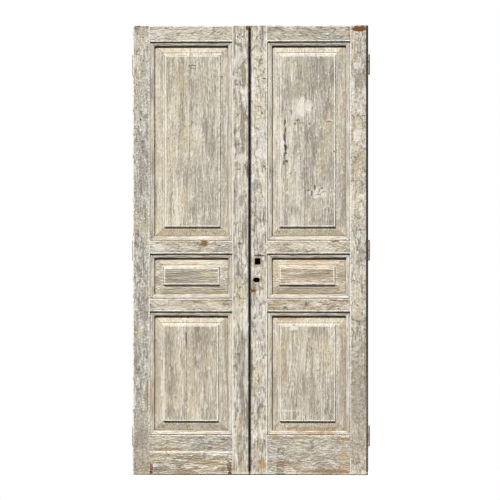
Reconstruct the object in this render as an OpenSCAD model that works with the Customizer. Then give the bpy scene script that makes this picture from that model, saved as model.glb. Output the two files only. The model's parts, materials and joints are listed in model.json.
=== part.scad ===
// A pair of panelled double doors: two leaves of stiles, rails, raised panels and planted mouldings,
// each hung on three butt hinges whose knuckles stand behind the leaf.
// Millimetres. X runs across the pair, Y from the moulded front to the back, Z up.
// The origin is under the middle of the pair, halfway through its whole depth, hinge knuckles included.

/* [Leaves] */
// Height of each leaf
leaf_h = 2290; // [1950:5:2750]
// Width of each leaf
leaf_w = 600; // [480:5:740]
// Thickness of each leaf
leaf_t = 44; // [36:1:56]
// Least space left between the leaves while they swing
swing_clear = 1.8; // [1:0.1:5]
// Radius worn onto the long outer corners of the stiles
arris_r = 2.5; // [1:0.5:4]

/* [Stiles and rails] */
// Width of a stile
stile_w = 87; // [75:1:110]
// Height of the top rail
top_rail_h = 80; // [65:1:140]
// Height of a cross rail
cross_rail_h = 65; // [52:1:110]
// Height of the whole bottom rail
bottom_rail_h = 205; // [180:1:260]
// Height of the lower of the two boards in the left leaf's bottom rail
base_board_h = 118; // [95:1:130]
// Height of the middle panel's opening
middle_open_h = 230; // [190:5:300]
// Height of the lower panel's opening
lower_open_h = 630; // [480:5:760]

/* [Joinery] */
// Depth of the grooves that hold the panels
groove_d = 12; // [8:0.5:15]
// Depth from the front face to the panel's tongue
tongue_y = 20; // [18:0.5:22]
// Thickness of the tongues and tenons
tongue_t = 10; // [7:0.5:12]
// Wood left between the end of a mortise and the outer edge of the stile
mortise_wall = 25.5; // [20:0.5:30]
// Height of the shoulder outside a tenon at the ends of the leaf
end_shoulder = 20; // [14:1:26]
// Clearance round each tongue and tenon
fit_gap = 0.2; // [0.1:0.05:0.4]
// Room left at the ends of tongues and tenons
end_room = 1.5; // [0.5:0.5:3]
// Diameter of a peg
peg_d = 8; // [6:0.5:10]
// Clearance round a peg
peg_gap = 0.1; // [0.05:0.05:0.2]
// Distance of the pegs from the shoulder line
peg_inset = 36; // [28:1:40]

/* [Panels] */
// Depth from the front face to the raised field
field_y = 4; // [2:0.5:5]
// Height of the step round the field
field_step = 2; // [1:0.25:2.5]
// Width of the cove round the field
cove_w = 15; // [10:0.5:20]
// Fall of the cove round the field
cove_fall = 7; // [3:0.5:8]
// Rise from the foot of the cove to the sloping margin outside it
quirk_h = 1.5; // [0.5:0.25:2.5]
// Width of the margin between the opening and the field
margin_w = 72; // [55:1:80]
// How far each field of the left leaf stands off centre, upper, middle and lower, towards the meeting stile
left_field_shift = [7, 2, -2]; // [-12:1:12]
// How far each field of the right leaf stands off centre, upper, middle and lower, towards the meeting stile
right_field_shift = [6, 9, 7]; // [-12:1:12]
// Distance from the hinge stile to the board joint in the left upper panel
left_upper_joint = 206; // [150:1:240]
// Distance from the hinge stile to the board joint in the left lower panel
left_lower_joint = 190; // [150:1:240]
// Distance from the hinge stile to the board joint in the right upper panel
right_upper_joint = 234; // [150:1:250]
// Gap that shrinkage has opened between two boards of a panel
board_gap = 0.5; // [0.2:0.1:0.8]

/* [Mouldings] */
// Width of the planted moulding
mould_w = 23; // [19:0.5:30]
// Depth from the front face to the crest of the bead
bead_y = 5; // [3:0.5:6]
// Radius of the bead
bead_r = 2.5; // [2:0.5:4]
// Width of the strip outside the bead
outer_strip_w = 3.5; // [1:0.5:5]
// Depth from the front face to the strip outside the bead
outer_strip_y = 8; // [7:0.5:10]
// Depth from the front face to the top of the ovolo inside the bead
ovolo_y = 6.5; // [5.5:0.5:7.5]
// Depth from the front face to the inner edge of the ovolo
lip_y = 10; // [9:0.5:14]
// Clearance between the mitred ends of two mouldings
mitre_gap = 0.2; // [0.1:0.1:0.6]

/* [Lock holes] */
// Distance from the upper cross rail down to the middle of the knob spindle's hole
spindle_drop = 40; // [36:1:60]
// Distance from the meeting edge to the middle of the knob spindle's hole
spindle_x = 37; // [32:1:44]
// Size of the knob spindle's hole, across and up
spindle_size = [30, 33]; // [20:1:36]
// Distance from the knob spindle's hole down to the key's hole
hole_centres = 95; // [60:1:105]
// Distance from the meeting edge to the middle of the key's hole
key_x = 32; // [30:1:44]
// Size of the key's hole, across and up
key_size = [34, 23]; // [16:1:36]
// Wood left between the lock pocket and the groove for the panels
pocket_wall = 9; // [5:0.5:14]
// Width of the lock pocket across the thickness of the leaf
pocket_t = 18; // [12:1:20]
// Height of the lock pocket past the middle of each hole
pocket_over = 32; // [24:1:34]

/* [Hinges] */
// Height of a hinge
hinge_h = 102; // [80:1:130]
// Distance from the end of the leaf to the middle of the top and bottom hinges
hinge_inset = 200; // [120:5:300]
// Width of a hinge plate on the edge of the leaf
plate_w = 30; // [26:1:34]
// Thickness of a hinge plate
plate_t = 3; // [2:0.25:4]
// Gap between the leaf and the jamb side plate
jamb_gap = 3; // [2:0.25:4]
// Radius of the hinge knuckles
knuckle_r = 6; // [5:0.25:8]
// Radius of the hinge pin
pin_r = 3; // [2.5:0.25:4]
// Running clearance between the pin and its knuckles
pin_gap = 0.05; // [0.02:0.01:0.1]
// Gap between one knuckle and the next
knuckle_gap = 0.3; // [0.2:0.1:0.6]
// Clearance between the knuckles and the back of the leaf
knuckle_clear = 0.5; // [0.3:0.1:2]
// Radius and height of the pin's head
pin_head = [5, 2.5]; // [1:0.5:6]
// Radius of a screw hole through a plate
screw_r = 2.4; // [2:0.1:3]
// Radius of a screw's head
screw_head_r = 4; // [3.5:0.1:5]
// Spacing of the screws across and up a plate
screw_spacing = [15, 72]; // [12:1:90]

/* [Hidden] */
$fn = 48;
KNUCKLES = 5;
TINY = 0.01;
// Width by which the ovolo is worked into the side of the bead
BEAD_LAP = 0.5;
// Facets of a whole turn of the ovolo's long flat arc
OVOLO_FN = 200;

// Hinge axis, measured from the hinge edge and the front face of a leaf
axis_x = -jamb_gap / 2;
axis_y = leaf_t + knuckle_clear + knuckle_r;

// The front corner of the meeting edge swings out past the edge by this much
reach_w = leaf_w - axis_x;
corner_reach = sqrt(pow(reach_w, 2) + pow(axis_y, 2)) - reach_w;
meeting_gap = 2 * corner_reach + swing_clear;
front_y = -(axis_y + knuckle_r) / 2;

// Openings of a leaf, from the foot up
open_x = [stile_w, leaf_w - stile_w];
open_w = open_x[1] - open_x[0];
lower_z = [bottom_rail_h, bottom_rail_h + lower_open_h];
middle_z = [lower_z[1] + cross_rail_h, lower_z[1] + cross_rail_h + middle_open_h];
upper_z = [middle_z[1] + cross_rail_h, leaf_h - top_rail_h];
UPPER = 0;
MIDDLE = 1;
LOWER = 2;
open_z = [upper_z, middle_z, lower_z];

// Joinery
groove_t = tongue_t + 2 * fit_gap;
groove_y = tongue_y - fit_gap;
panel_back = tongue_y + tongue_t;
tongue_l = groove_d - end_room;
tenon_l = stile_w - mortise_wall - end_room;

// Tenons of each rail as [foot, head]; the bottom rail of one board has two
top_tenons = [[upper_z[1] + groove_d, leaf_h - end_shoulder]];
upper_cross_tenons = [[middle_z[1] + groove_d, upper_z[0] - groove_d]];
lower_cross_tenons = [[lower_z[1] + groove_d, middle_z[0] - groove_d]];
upper_bottom_tenons = [[base_board_h + groove_d, bottom_rail_h - groove_d]];
base_tenons = [[end_shoulder, base_board_h - groove_d]];
bottom_tenons = concat(base_tenons, upper_bottom_tenons);
all_tenons = concat(top_tenons, upper_cross_tenons, lower_cross_tenons, bottom_tenons);

// Lock holes and the pocket behind them, from the foot up
spindle_z = middle_z[1] - spindle_drop;
key_z = spindle_z - hole_centres;
pocket_d = stile_w - groove_d - pocket_wall;
pocket_z = [key_z - pocket_over, spindle_z + pocket_over];
pocket_y = [(leaf_t - pocket_t) / 2, (leaf_t + pocket_t) / 2];

// Hinges
hinge_z = [hinge_inset, leaf_h / 2, leaf_h - hinge_inset];
knuckle_h = (hinge_h - (KNUCKLES - 1) * knuckle_gap) / KNUCKLES;
plate_y = leaf_t - plate_w;
screw_y = plate_y + plate_w / 2;
sink_h = screw_head_r - screw_r;
screw_gap = 0.05;
screw_l = mortise_wall - end_room;

paint = [0.79, 0.75, 0.69];
paint_grey = [0.73, 0.70, 0.64];
paint_cream = [0.87, 0.83, 0.75];
peg_wood = [0.35, 0.22, 0.14];
iron = [0.24, 0.19, 0.16];

// ---- Placing: a leaf is drawn with its hinge edge at x = 0, its front at y = 0 and its foot at z = 0

module left() {
    translate([-meeting_gap / 2 - leaf_w, front_y, 0]) children();
}

module right() {
    mirror([1, 0, 0]) left() children();
}

// A box between two corners
module block(low, high) {
    translate(low) cube(high - low);
}

// ---- Stiles

// Cross-section of a stile at x = 0 to stile_w, its outer edge at x = 0 with both corners worn round
module stile_section() {
    difference() {
        square([stile_w, leaf_t]);
        for (y = [0, leaf_t]) difference() {
            translate([-arris_r, y - arris_r]) square(2 * arris_r);
            translate([arris_r, y == 0 ? arris_r : leaf_t - arris_r]) circle(arris_r);
            translate([arris_r, y - 2 * arris_r]) square(4 * arris_r);
        }
        translate([stile_w - groove_d, groove_y]) square([groove_d + TINY, groove_t]);
    }
}

module mortises() {
    for (t = all_tenons)
        block(
            [mortise_wall, groove_y, t[0] - fit_gap],
            [stile_w, groove_y + groove_t, t[1] + fit_gap]
        );
}

// Every peg of one stile, shoulder line at x = stile_w
module peg_rods(radius, over) {
    for (t = all_tenons)
        translate([stile_w - peg_inset, -over, (t[0] + t[1]) / 2])
            rotate([-90, 0, 0])
                cylinder(h = leaf_t + 2 * over, r = radius);
}

module stile() {
    difference() {
        linear_extrude(leaf_h) stile_section();
        mortises();
        peg_rods(peg_d / 2 + peg_gap, 1);
    }
}

// Turns a shape drawn on the hinge stile into one on the meeting stile
module at_meeting_edge() {
    translate([leaf_w, 0, 0]) mirror([1, 0, 0]) children();
}

module hinge_stile() {
    difference() {
        stile();
        for (z = hinge_z) {
            block([-1, plate_y, z - hinge_h / 2], [plate_t, leaf_t + 1, z + hinge_h / 2]);
            at_screws(z) cylinder(h = screw_l + end_room / 2, r = screw_r + screw_gap);
        }
    }
}

// ---- Lock holes, drawn with the meeting edge at x = 0

// Rounded square hole left by the knob spindle's rose
module spindle_hole() {
    corner = spindle_size[0] / 5;
    translate([spindle_x, 0, spindle_z]) rotate([90, 0, 0]) linear_extrude(2 * pocket_y[0], center = true)
        union() {
            square([spindle_size[0] - 2 * corner, spindle_size[1]], center = true);
            square([spindle_size[0], spindle_size[1] - 2 * corner], center = true);
            for (sx = [-1, 1], sz = [-1, 1])
                translate([sx * (spindle_size[0] / 2 - corner), sz * (spindle_size[1] / 2 - corner)])
                    circle(corner);
        }
}

// Long round-ended hole left by the key plate
module key_hole() {
    end_r = key_size[1] / 2;
    translate([key_x, 0, key_z]) rotate([90, 0, 0]) linear_extrude(2 * pocket_y[0], center = true)
        union() {
            square([key_size[0] - key_size[1], key_size[1]], center = true);
            for (s = [-1, 1]) translate([s * (key_size[0] / 2 - end_r), 0]) circle(end_r);
        }
}

module lock_pocket() {
    block([-1, pocket_y[0], pocket_z[0]], [pocket_d, pocket_y[1], pocket_z[1]]);
}

// ---- Rails

// One board between the stiles, from z[0] to z[1], with a groove in an edge where a panel or board enters it
module rail(z, tenons, groove_below, groove_above) {
    low = z[0] + (groove_below ? groove_d : 0);
    high = z[1] - (groove_above ? groove_d : 0);
    difference() {
        union() {
            block([open_x[0], 0, z[0]], [open_x[1], leaf_t, z[1]]);
            block(
                [open_x[0] - groove_d + fit_gap, tongue_y, low],
                [open_x[1] + groove_d - fit_gap, panel_back, high]
            );
            for (t = tenons)
                block([open_x[0] - tenon_l, tongue_y, t[0]], [open_x[1] + tenon_l, panel_back, t[1]]);
        }
        if (groove_below) rail_groove(z[0] - 1, z[0] + groove_d);
        if (groove_above) rail_groove(z[1] - groove_d, z[1] + 1);
        peg_rods(peg_d / 2 + peg_gap, 1);
        at_meeting_edge() peg_rods(peg_d / 2 + peg_gap, 1);
    }
}

module rail_groove(from_z, to_z) {
    block([-1, groove_y, from_z], [leaf_w + 1, groove_y + groove_t, to_z]);
}

// Tongue on the base board that enters the groove under the board above it
module base_tongue() {
    block(
        [open_x[0] + fit_gap, tongue_y, base_board_h - TINY],
        [open_x[1] - fit_gap, panel_back, base_board_h + groove_d - end_room]
    );
}

module top_rail() {
    rail([upper_z[1], leaf_h], top_tenons, true, false);
}

module upper_cross_rail() {
    rail([middle_z[1], upper_z[0]], upper_cross_tenons, true, true);
}

module lower_cross_rail() {
    rail([lower_z[1], middle_z[0]], lower_cross_tenons, true, true);
}

// ---- Panels

// What is planed off in front of the panel along one edge: x from the opening's edge inwards, y the depth
module margin_cut(field_x) {
    cove_y = field_y + field_step;
    cove = [for (a = [0:15:90]) [field_x - cove_w * a / 90, cove_y + cove_fall * sin(a)]];
    foot = [
        [field_x - cove_w, cove_y + cove_fall - quirk_h],
        [mould_w, tongue_y], [-groove_d, tongue_y]
    ];
    polygon(concat([[-groove_d, -1], [field_x, -1]], cove, foot));
}

// One board of a panel, x from board[0] to board[1], of the panel in opening `place`
module panel_board(place, board, shift) {
    z = open_z[place];
    mid = [open_w / 2, 0, (z[1] - z[0]) / 2];
    long = max(open_w, z[1] - z[0]) + 2 * groove_d;
    intersection() {
        translate([open_x[0], 0, z[0]]) difference() {
            block(
                [-tongue_l, field_y, -tongue_l],
                [open_w + tongue_l, panel_back, z[1] - z[0] + tongue_l]
            );
            translate([0, 0, -groove_d]) linear_extrude(long) margin_cut(margin_w + shift);
            translate([open_w, 0, -groove_d]) mirror([1, 0, 0]) linear_extrude(long)
                margin_cut(margin_w - shift);
            for (top = [0, 1])
                translate([-groove_d, 0, top * (z[1] - z[0])]) mirror([0, 0, top])
                    rotate([0, 90, 0]) mirror([1, 0, 0]) linear_extrude(long) margin_cut(margin_w);
        }
        block([board[0], -1, 0], [board[1], leaf_t, leaf_h]);
    }
}

// The two boards of a panel that has a joint, and the whole width of one that has none
function hinge_board(joint) = [0, open_x[0] + joint - board_gap / 2];
function meeting_board(joint) = [open_x[0] + joint + board_gap / 2, leaf_w];
whole_board = [0, leaf_w];

// ---- Mouldings

// Section of the moulding: x from the opening's edge inwards, y the depth
module moulding_section() {
    bead_x = outer_strip_w + bead_r;
    ovolo_x = bead_x + bead_r - BEAD_LAP;
    ovolo_w = mould_w - ovolo_x;
    ovolo_fall = lip_y - ovolo_y;
    ovolo_r = (pow(ovolo_w, 2) + pow(ovolo_fall, 2)) / (2 * ovolo_fall);
    translate([0, outer_strip_y]) square([bead_x, tongue_y - outer_strip_y]);
    translate([bead_x, bead_y + bead_r]) circle(bead_r);
    translate([bead_x, bead_y + bead_r]) square([ovolo_x - bead_x + TINY, tongue_y - bead_y - bead_r]);
    intersection() {
        translate([ovolo_x, ovolo_y + ovolo_r]) circle(ovolo_r, $fn = OVOLO_FN);
        translate([ovolo_x, ovolo_y]) square([ovolo_w, ovolo_fall + TINY]);
    }
    translate([ovolo_x, lip_y]) square([ovolo_w, tongue_y - lip_y]);
}

// One length along an edge of an opening `long` by `high`, seen from the front, its outer edge on z = 0
module mitred_length(long) {
    intersection() {
        rotate([0, 90, 0]) mirror([1, 0, 0]) linear_extrude(long) moulding_section();
        translate([0, leaf_t, 0]) rotate([90, 0, 0]) linear_extrude(leaf_t) polygon([
            [mitre_gap, 0], [long - mitre_gap, 0],
            [long - mitre_gap - mould_w, mould_w], [mitre_gap + mould_w, mould_w]
        ]);
    }
}

module moulding_bottom(place) {
    translate([open_x[0], 0, open_z[place][0]]) mitred_length(open_w);
}

module moulding_top(place) {
    translate([open_x[0], 0, open_z[place][1]]) mirror([0, 0, 1]) mitred_length(open_w);
}

module moulding_hinge_side(place) {
    z = open_z[place];
    translate([open_x[0], 0, z[1]]) rotate([0, 90, 0]) mitred_length(z[1] - z[0]);
}

module moulding_meeting_side(place) {
    at_meeting_edge() moulding_hinge_side(place);
}

// ---- Pegs

module pegs() {
    peg_rods(peg_d / 2, 0);
    at_meeting_edge() peg_rods(peg_d / 2, 0);
}

// ---- Hinges, drawn with the hinge edge of the leaf at x = 0

// Four places for screws round the middle of a plate, +Z pointing into the leaf
module at_screws(z) {
    for (sy = [-1, 1], sz = [-1, 1])
        translate([0, screw_y + sy * screw_spacing[0] / 2, z + sz * screw_spacing[1] / 2])
            rotate([0, 90, 0])
                children();
}

// Countersunk hole for a screw driven along +Z from z = 0
module screw_hole() {
    translate([0, 0, -1]) cylinder(h = plate_t + 2, r = screw_r);
    translate([0, 0, -TINY]) cylinder(h = sink_h + TINY, r1 = screw_head_r + TINY, r2 = screw_r);
}

// The knuckles numbered in `which`, with the tabs that join them to a plate
module knuckles(z, which) {
    for (k = which) {
        foot = z - hinge_h / 2 + k * (knuckle_h + knuckle_gap);
        translate([axis_x, axis_y, foot]) cylinder(h = knuckle_h, r = knuckle_r);
        block([0, leaf_t - 1, foot], [plate_t, axis_y, foot + knuckle_h]);
    }
}

module plate(z, which) {
    difference() {
        union() {
            block([0, plate_y, z - hinge_h / 2], [plate_t, leaf_t, z + hinge_h / 2]);
            knuckles(z, which);
        }
        translate([axis_x, axis_y, z - hinge_h / 2 - 1]) cylinder(h = hinge_h + 2, r = pin_r + pin_gap);
        at_screws(z) screw_hole();
    }
}

module leaf_plates() {
    for (z = hinge_z) plate(z, [1, 3]);
}

module jamb_plates() {
    translate([2 * axis_x, 0, 0]) mirror([1, 0, 0])
        for (z = hinge_z) plate(z, [0, 2, 4]);
}

module hinge_pins() {
    for (z = hinge_z) translate([axis_x, axis_y, z - hinge_h / 2]) {
        cylinder(h = hinge_h, r = pin_r);
        translate([0, 0, hinge_h]) cylinder(h = pin_head[1], r = pin_head[0]);
    }
}

module hinge_screws() {
    for (z = hinge_z) at_screws(z) {
        cylinder(h = sink_h, r1 = screw_head_r - screw_gap, r2 = screw_r - screw_gap);
        cylinder(h = screw_l, r = screw_r - screw_gap);
    }
}

// ---- Left leaf

module left_hinge_stile() { color(paint_grey) left() hinge_stile(); }
module left_meeting_stile() { color(paint_grey) left() at_meeting_edge() stile(); }
module left_top_rail() { color(paint) left() top_rail(); }
module left_upper_cross_rail() { color(paint) left() upper_cross_rail(); }
module left_lower_cross_rail() { color(paint_cream) left() lower_cross_rail(); }
module left_bottom_rail() {
    color(paint_grey) left() rail([base_board_h, bottom_rail_h], upper_bottom_tenons, true, true);
}
module left_base_board() {
    color(paint) left() union() {
        rail([0, base_board_h], base_tenons, false, false);
        base_tongue();
    }
}
module left_upper_panel_hinge_board() {
    color(paint_cream) left() panel_board(UPPER, hinge_board(left_upper_joint), left_field_shift[UPPER]);
}
module left_upper_panel_meeting_board() {
    color(paint) left() panel_board(UPPER, meeting_board(left_upper_joint), left_field_shift[UPPER]);
}
module left_middle_panel() {
    color(paint_cream) left() panel_board(MIDDLE, whole_board, left_field_shift[MIDDLE]);
}
module left_lower_panel_hinge_board() {
    color(paint) left() panel_board(LOWER, hinge_board(left_lower_joint), left_field_shift[LOWER]);
}
module left_lower_panel_meeting_board() {
    color(paint_cream) left() panel_board(LOWER, meeting_board(left_lower_joint), left_field_shift[LOWER]);
}
module left_upper_moulding_top() { color(paint) left() moulding_top(UPPER); }
module left_upper_moulding_bottom() { color(paint) left() moulding_bottom(UPPER); }
module left_upper_moulding_hinge_side() { color(paint) left() moulding_hinge_side(UPPER); }
module left_upper_moulding_meeting_side() { color(paint) left() moulding_meeting_side(UPPER); }
module left_middle_moulding_top() { color(paint) left() moulding_top(MIDDLE); }
module left_middle_moulding_bottom() { color(paint) left() moulding_bottom(MIDDLE); }
module left_middle_moulding_hinge_side() { color(paint) left() moulding_hinge_side(MIDDLE); }
module left_middle_moulding_meeting_side() { color(paint) left() moulding_meeting_side(MIDDLE); }
module left_lower_moulding_top() { color(paint) left() moulding_top(LOWER); }
module left_lower_moulding_bottom() { color(paint) left() moulding_bottom(LOWER); }
module left_lower_moulding_hinge_side() { color(paint) left() moulding_hinge_side(LOWER); }
module left_lower_moulding_meeting_side() { color(paint) left() moulding_meeting_side(LOWER); }
module left_pegs() { color(peg_wood) left() pegs(); }
module left_hinge_leaf_plates() { color(iron) left() leaf_plates(); }
module left_hinge_screws() { color(iron) left() hinge_screws(); }
module left_hinge_jamb_plates() { color(iron) left() jamb_plates(); }
module left_hinge_pins() { color(iron) left() hinge_pins(); }

// ---- Right leaf, with the lock holes in its meeting stile

module right_hinge_stile() { color(paint_grey) right() hinge_stile(); }
module right_meeting_stile() {
    color(paint) right() at_meeting_edge() difference() {
        stile();
        spindle_hole();
        key_hole();
        lock_pocket();
    }
}
module right_top_rail() { color(paint) right() top_rail(); }
module right_upper_cross_rail() { color(paint) right() upper_cross_rail(); }
module right_lower_cross_rail() { color(paint_grey) right() lower_cross_rail(); }
module right_bottom_rail() {
    color(paint_grey) right() rail([0, bottom_rail_h], bottom_tenons, false, true);
}
module right_upper_panel_hinge_board() {
    color(paint) right() panel_board(UPPER, hinge_board(right_upper_joint), right_field_shift[UPPER]);
}
module right_upper_panel_meeting_board() {
    color(paint_grey) right() panel_board(UPPER, meeting_board(right_upper_joint), right_field_shift[UPPER]);
}
module right_middle_panel() {
    color(paint_grey) right() panel_board(MIDDLE, whole_board, right_field_shift[MIDDLE]);
}
module right_lower_panel() {
    color(paint) right() panel_board(LOWER, whole_board, right_field_shift[LOWER]);
}
module right_upper_moulding_top() { color(paint) right() moulding_top(UPPER); }
module right_upper_moulding_bottom() { color(paint) right() moulding_bottom(UPPER); }
module right_upper_moulding_hinge_side() { color(paint) right() moulding_hinge_side(UPPER); }
module right_upper_moulding_meeting_side() { color(paint) right() moulding_meeting_side(UPPER); }
module right_middle_moulding_top() { color(paint) right() moulding_top(MIDDLE); }
module right_middle_moulding_bottom() { color(paint) right() moulding_bottom(MIDDLE); }
module right_middle_moulding_hinge_side() { color(paint) right() moulding_hinge_side(MIDDLE); }
module right_middle_moulding_meeting_side() { color(paint) right() moulding_meeting_side(MIDDLE); }
module right_lower_moulding_top() { color(paint) right() moulding_top(LOWER); }
module right_lower_moulding_bottom() { color(paint_cream) right() moulding_bottom(LOWER); }
module right_lower_moulding_hinge_side() { color(paint) right() moulding_hinge_side(LOWER); }
module right_lower_moulding_meeting_side() { color(paint) right() moulding_meeting_side(LOWER); }
module right_pegs() { color(peg_wood) right() pegs(); }
module right_hinge_leaf_plates() { color(iron) right() leaf_plates(); }
module right_hinge_screws() { color(iron) right() hinge_screws(); }
module right_hinge_jamb_plates() { color(iron) right() jamb_plates(); }
module right_hinge_pins() { color(iron) right() hinge_pins(); }

left_hinge_stile();
left_meeting_stile();
left_top_rail();
left_upper_cross_rail();
left_lower_cross_rail();
left_bottom_rail();
left_base_board();
left_upper_panel_hinge_board();
left_upper_panel_meeting_board();
left_middle_panel();
left_lower_panel_hinge_board();
left_lower_panel_meeting_board();
left_upper_moulding_top();
left_upper_moulding_bottom();
left_upper_moulding_hinge_side();
left_upper_moulding_meeting_side();
left_middle_moulding_top();
left_middle_moulding_bottom();
left_middle_moulding_hinge_side();
left_middle_moulding_meeting_side();
left_lower_moulding_top();
left_lower_moulding_bottom();
left_lower_moulding_hinge_side();
left_lower_moulding_meeting_side();
left_pegs();
left_hinge_leaf_plates();
left_hinge_screws();
left_hinge_jamb_plates();
left_hinge_pins();
right_hinge_stile();
right_meeting_stile();
right_top_rail();
right_upper_cross_rail();
right_lower_cross_rail();
right_bottom_rail();
right_upper_panel_hinge_board();
right_upper_panel_meeting_board();
right_middle_panel();
right_lower_panel();
right_upper_moulding_top();
right_upper_moulding_bottom();
right_upper_moulding_hinge_side();
right_upper_moulding_meeting_side();
right_middle_moulding_top();
right_middle_moulding_bottom();
right_middle_moulding_hinge_side();
right_middle_moulding_meeting_side();
right_lower_moulding_top();
right_lower_moulding_bottom();
right_lower_moulding_hinge_side();
right_lower_moulding_meeting_side();
right_pegs();
right_hinge_leaf_plates();
right_hinge_screws();
right_hinge_jamb_plates();
right_hinge_pins();
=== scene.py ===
# %% [markdown]
# # Old painted double doors
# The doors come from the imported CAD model, which fixes every size and every hinge. This lesson
# gives them their looks: worn edges, whitewash rubbed down to the wood, rusty iron, and a plain
# studio to stand in. The model is loaded first, because each new piece takes its place and its
# moving body from it.

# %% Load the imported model
import json
import math
import random
from functools import partial

import bpy
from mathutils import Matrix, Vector


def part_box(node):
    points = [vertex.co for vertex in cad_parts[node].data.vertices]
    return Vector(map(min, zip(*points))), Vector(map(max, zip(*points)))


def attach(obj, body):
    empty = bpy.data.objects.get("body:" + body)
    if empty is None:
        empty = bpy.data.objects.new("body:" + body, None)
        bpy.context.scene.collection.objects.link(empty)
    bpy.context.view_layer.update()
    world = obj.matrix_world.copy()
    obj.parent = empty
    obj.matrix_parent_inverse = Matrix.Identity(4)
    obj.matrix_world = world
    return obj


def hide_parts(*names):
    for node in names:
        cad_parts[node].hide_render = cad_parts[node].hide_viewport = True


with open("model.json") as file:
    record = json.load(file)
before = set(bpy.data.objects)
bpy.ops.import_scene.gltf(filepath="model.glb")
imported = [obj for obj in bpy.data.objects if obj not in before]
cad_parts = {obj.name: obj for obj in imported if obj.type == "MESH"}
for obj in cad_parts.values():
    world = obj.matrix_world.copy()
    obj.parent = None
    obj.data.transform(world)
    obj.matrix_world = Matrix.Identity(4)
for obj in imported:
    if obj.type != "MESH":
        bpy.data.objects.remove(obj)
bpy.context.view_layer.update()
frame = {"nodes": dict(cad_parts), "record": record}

# %% [markdown]
# Joiners measure a door from its hinge edge, its foot and its front face. The same three distances
# are used here in millimetres, so that a mark on the left leaf and one on the right leaf are
# written in the same way, although the right leaf is a mirror image of the left. One function turns
# them into a point of the model.

# %% Measuring on a leaf
TOWARDS_MEETING = {"left": 1, "right": -1}
hinge_edge = {"left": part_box("left_hinge_stile")[0].x, "right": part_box("right_hinge_stile")[1].x}
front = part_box("left_hinge_stile")[0].y
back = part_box("left_hinge_stile")[1].y
leaf_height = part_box("left_hinge_stile")[1].z
bodies = frame["record"]["behaviour"]["bodies"]
body_of_node = {node: body for body, nodes in bodies.items() for node in nodes}


def mm(length):
    """Millimetres as metres."""
    return length / 1000


def on_leaf(leaf, across, up, deep=0):
    """The point so far in from a leaf's hinge edge, up from its foot and back from its front face."""
    return Vector((hinge_edge[leaf] + TOWARDS_MEETING[leaf] * mm(across), front + mm(deep), mm(up)))


print("front face at y =", round(front, 5), "and back at y =", round(back, 5))

# %% [markdown]
# A long lens from far away keeps the stiles parallel, as in a catalogue picture. The camera stands
# a little to the right of square on, so that a thin dark strip of each leaf's right-hand edge
# shows.

# %% Camera
SHOWN_HEIGHT = 2.546                  # metres, from the top of the view to its foot
CAMERA_DISTANCE = 60                  # metres
CAMERA_AZIMUTH = math.radians(8.5)    # to the right of square on
AIM_ACROSS, AIM_UP = 1.2, 1147.5      # mm from the middle of the pair and from its foot
looked_at = Vector((mm(AIM_ACROSS), front, mm(AIM_UP)))

camera_data = bpy.data.cameras.new("camera")
camera_data.sensor_width = 36
camera_data.lens = camera_data.sensor_width * CAMERA_DISTANCE / SHOWN_HEIGHT
camera_data.clip_end = 2 * CAMERA_DISTANCE
camera = bpy.data.objects.new("camera", camera_data)
bpy.context.scene.collection.objects.link(camera)
towards_camera = Vector((math.sin(CAMERA_AZIMUTH), -math.cos(CAMERA_AZIMUTH), 0))
camera.location = looked_at + CAMERA_DISTANCE * towards_camera
camera.rotation_euler = (-towards_camera).to_track_quat("-Z", "Y").to_euler()
bpy.context.scene.camera = camera
print("lens, mm:", round(camera_data.lens))

# %% [markdown]
# Colours are chosen as the hex values that a paint card or a screen shows. Blender's shaders work
# in linear light, so one function turns them over. Another adds a node with its settings and links
# in one line, which keeps a long material readable. A key of `links` is a socket's name or number,
# and its value is a node, an output of a node, a hex colour or a plain number.

# %% Colours and nodes
def linear(hex_colour):
    """An sRGB hex colour as Blender's linear red, green, blue and alpha."""
    parts = [int(hex_colour[i:i + 2], 16) / 255 for i in (1, 3, 5)]
    return [c / 12.92 if c <= 0.04045 else ((c + 0.055) / 1.055) ** 2.4 for c in parts] + [1]


def add(tree, kind, links=None, stops=None, **settings):
    """Adds a shader node, gives it its settings, its colour stops, and its sockets' values or links."""
    made = tree.nodes.new("ShaderNode" + kind)
    for name, value in settings.items():
        setattr(made, name, value)
    for place, (at, colour) in enumerate(stops or []):
        ramp = made.color_ramp.elements
        stop = ramp[place] if place < 2 else ramp.new(at)
        stop.position = at
        stop.color = linear(colour) if isinstance(colour, str) else colour
    for key, value in (links or {}).items():
        if isinstance(value, bpy.types.Node):
            value = next(output for output in value.outputs if output.enabled)
        if isinstance(value, bpy.types.NodeSocket):
            tree.links.new(value, made.inputs[key])
        else:
            made.inputs[key].default_value = linear(value) if isinstance(value, str) else value
    return made


def new_material(name):
    """An empty material with its shader and output in place, as (material, node tree, shader)."""
    made = bpy.data.materials.new(name)
    made.use_nodes = True
    tree = made.node_tree
    tree.nodes.clear()
    shader = add(tree, "BsdfPrincipled")
    add(tree, "OutputMaterial", {"Surface": shader})
    return made, tree, shader


print("white in linear light:", linear("#ffffff"))

# %% [markdown]
# Mouldings are read by the dark line under each of them. A key lamp high on the left draws it: a sun
# lamp, whose disc is a little wider than the real sun's, so that the line is crisp but its rim is
# soft. A weak sky fills the shadows. Two wide soft lamps, one behind and a weaker one on the right,
# keep the back and the edges of the doors from going black. The camera itself sees the sky as plain
# white.

# %% Light
def sun(name, azimuth, elevation, strength, disc):
    """A sun lamp, its angles in degrees; azimuth 0 is straight in front of the doors."""
    lamp = bpy.data.lights.new(name, "SUN")
    lamp.energy = strength
    lamp.angle = math.radians(disc)
    a, e = math.radians(azimuth), math.radians(elevation)
    seen = Vector((math.sin(a) * math.cos(e), -math.cos(a) * math.cos(e), math.sin(e)))
    holder = bpy.data.objects.new(name, lamp)
    holder.rotation_euler = seen.to_track_quat("Z", "Y").to_euler()
    bpy.context.scene.collection.objects.link(holder)


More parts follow.
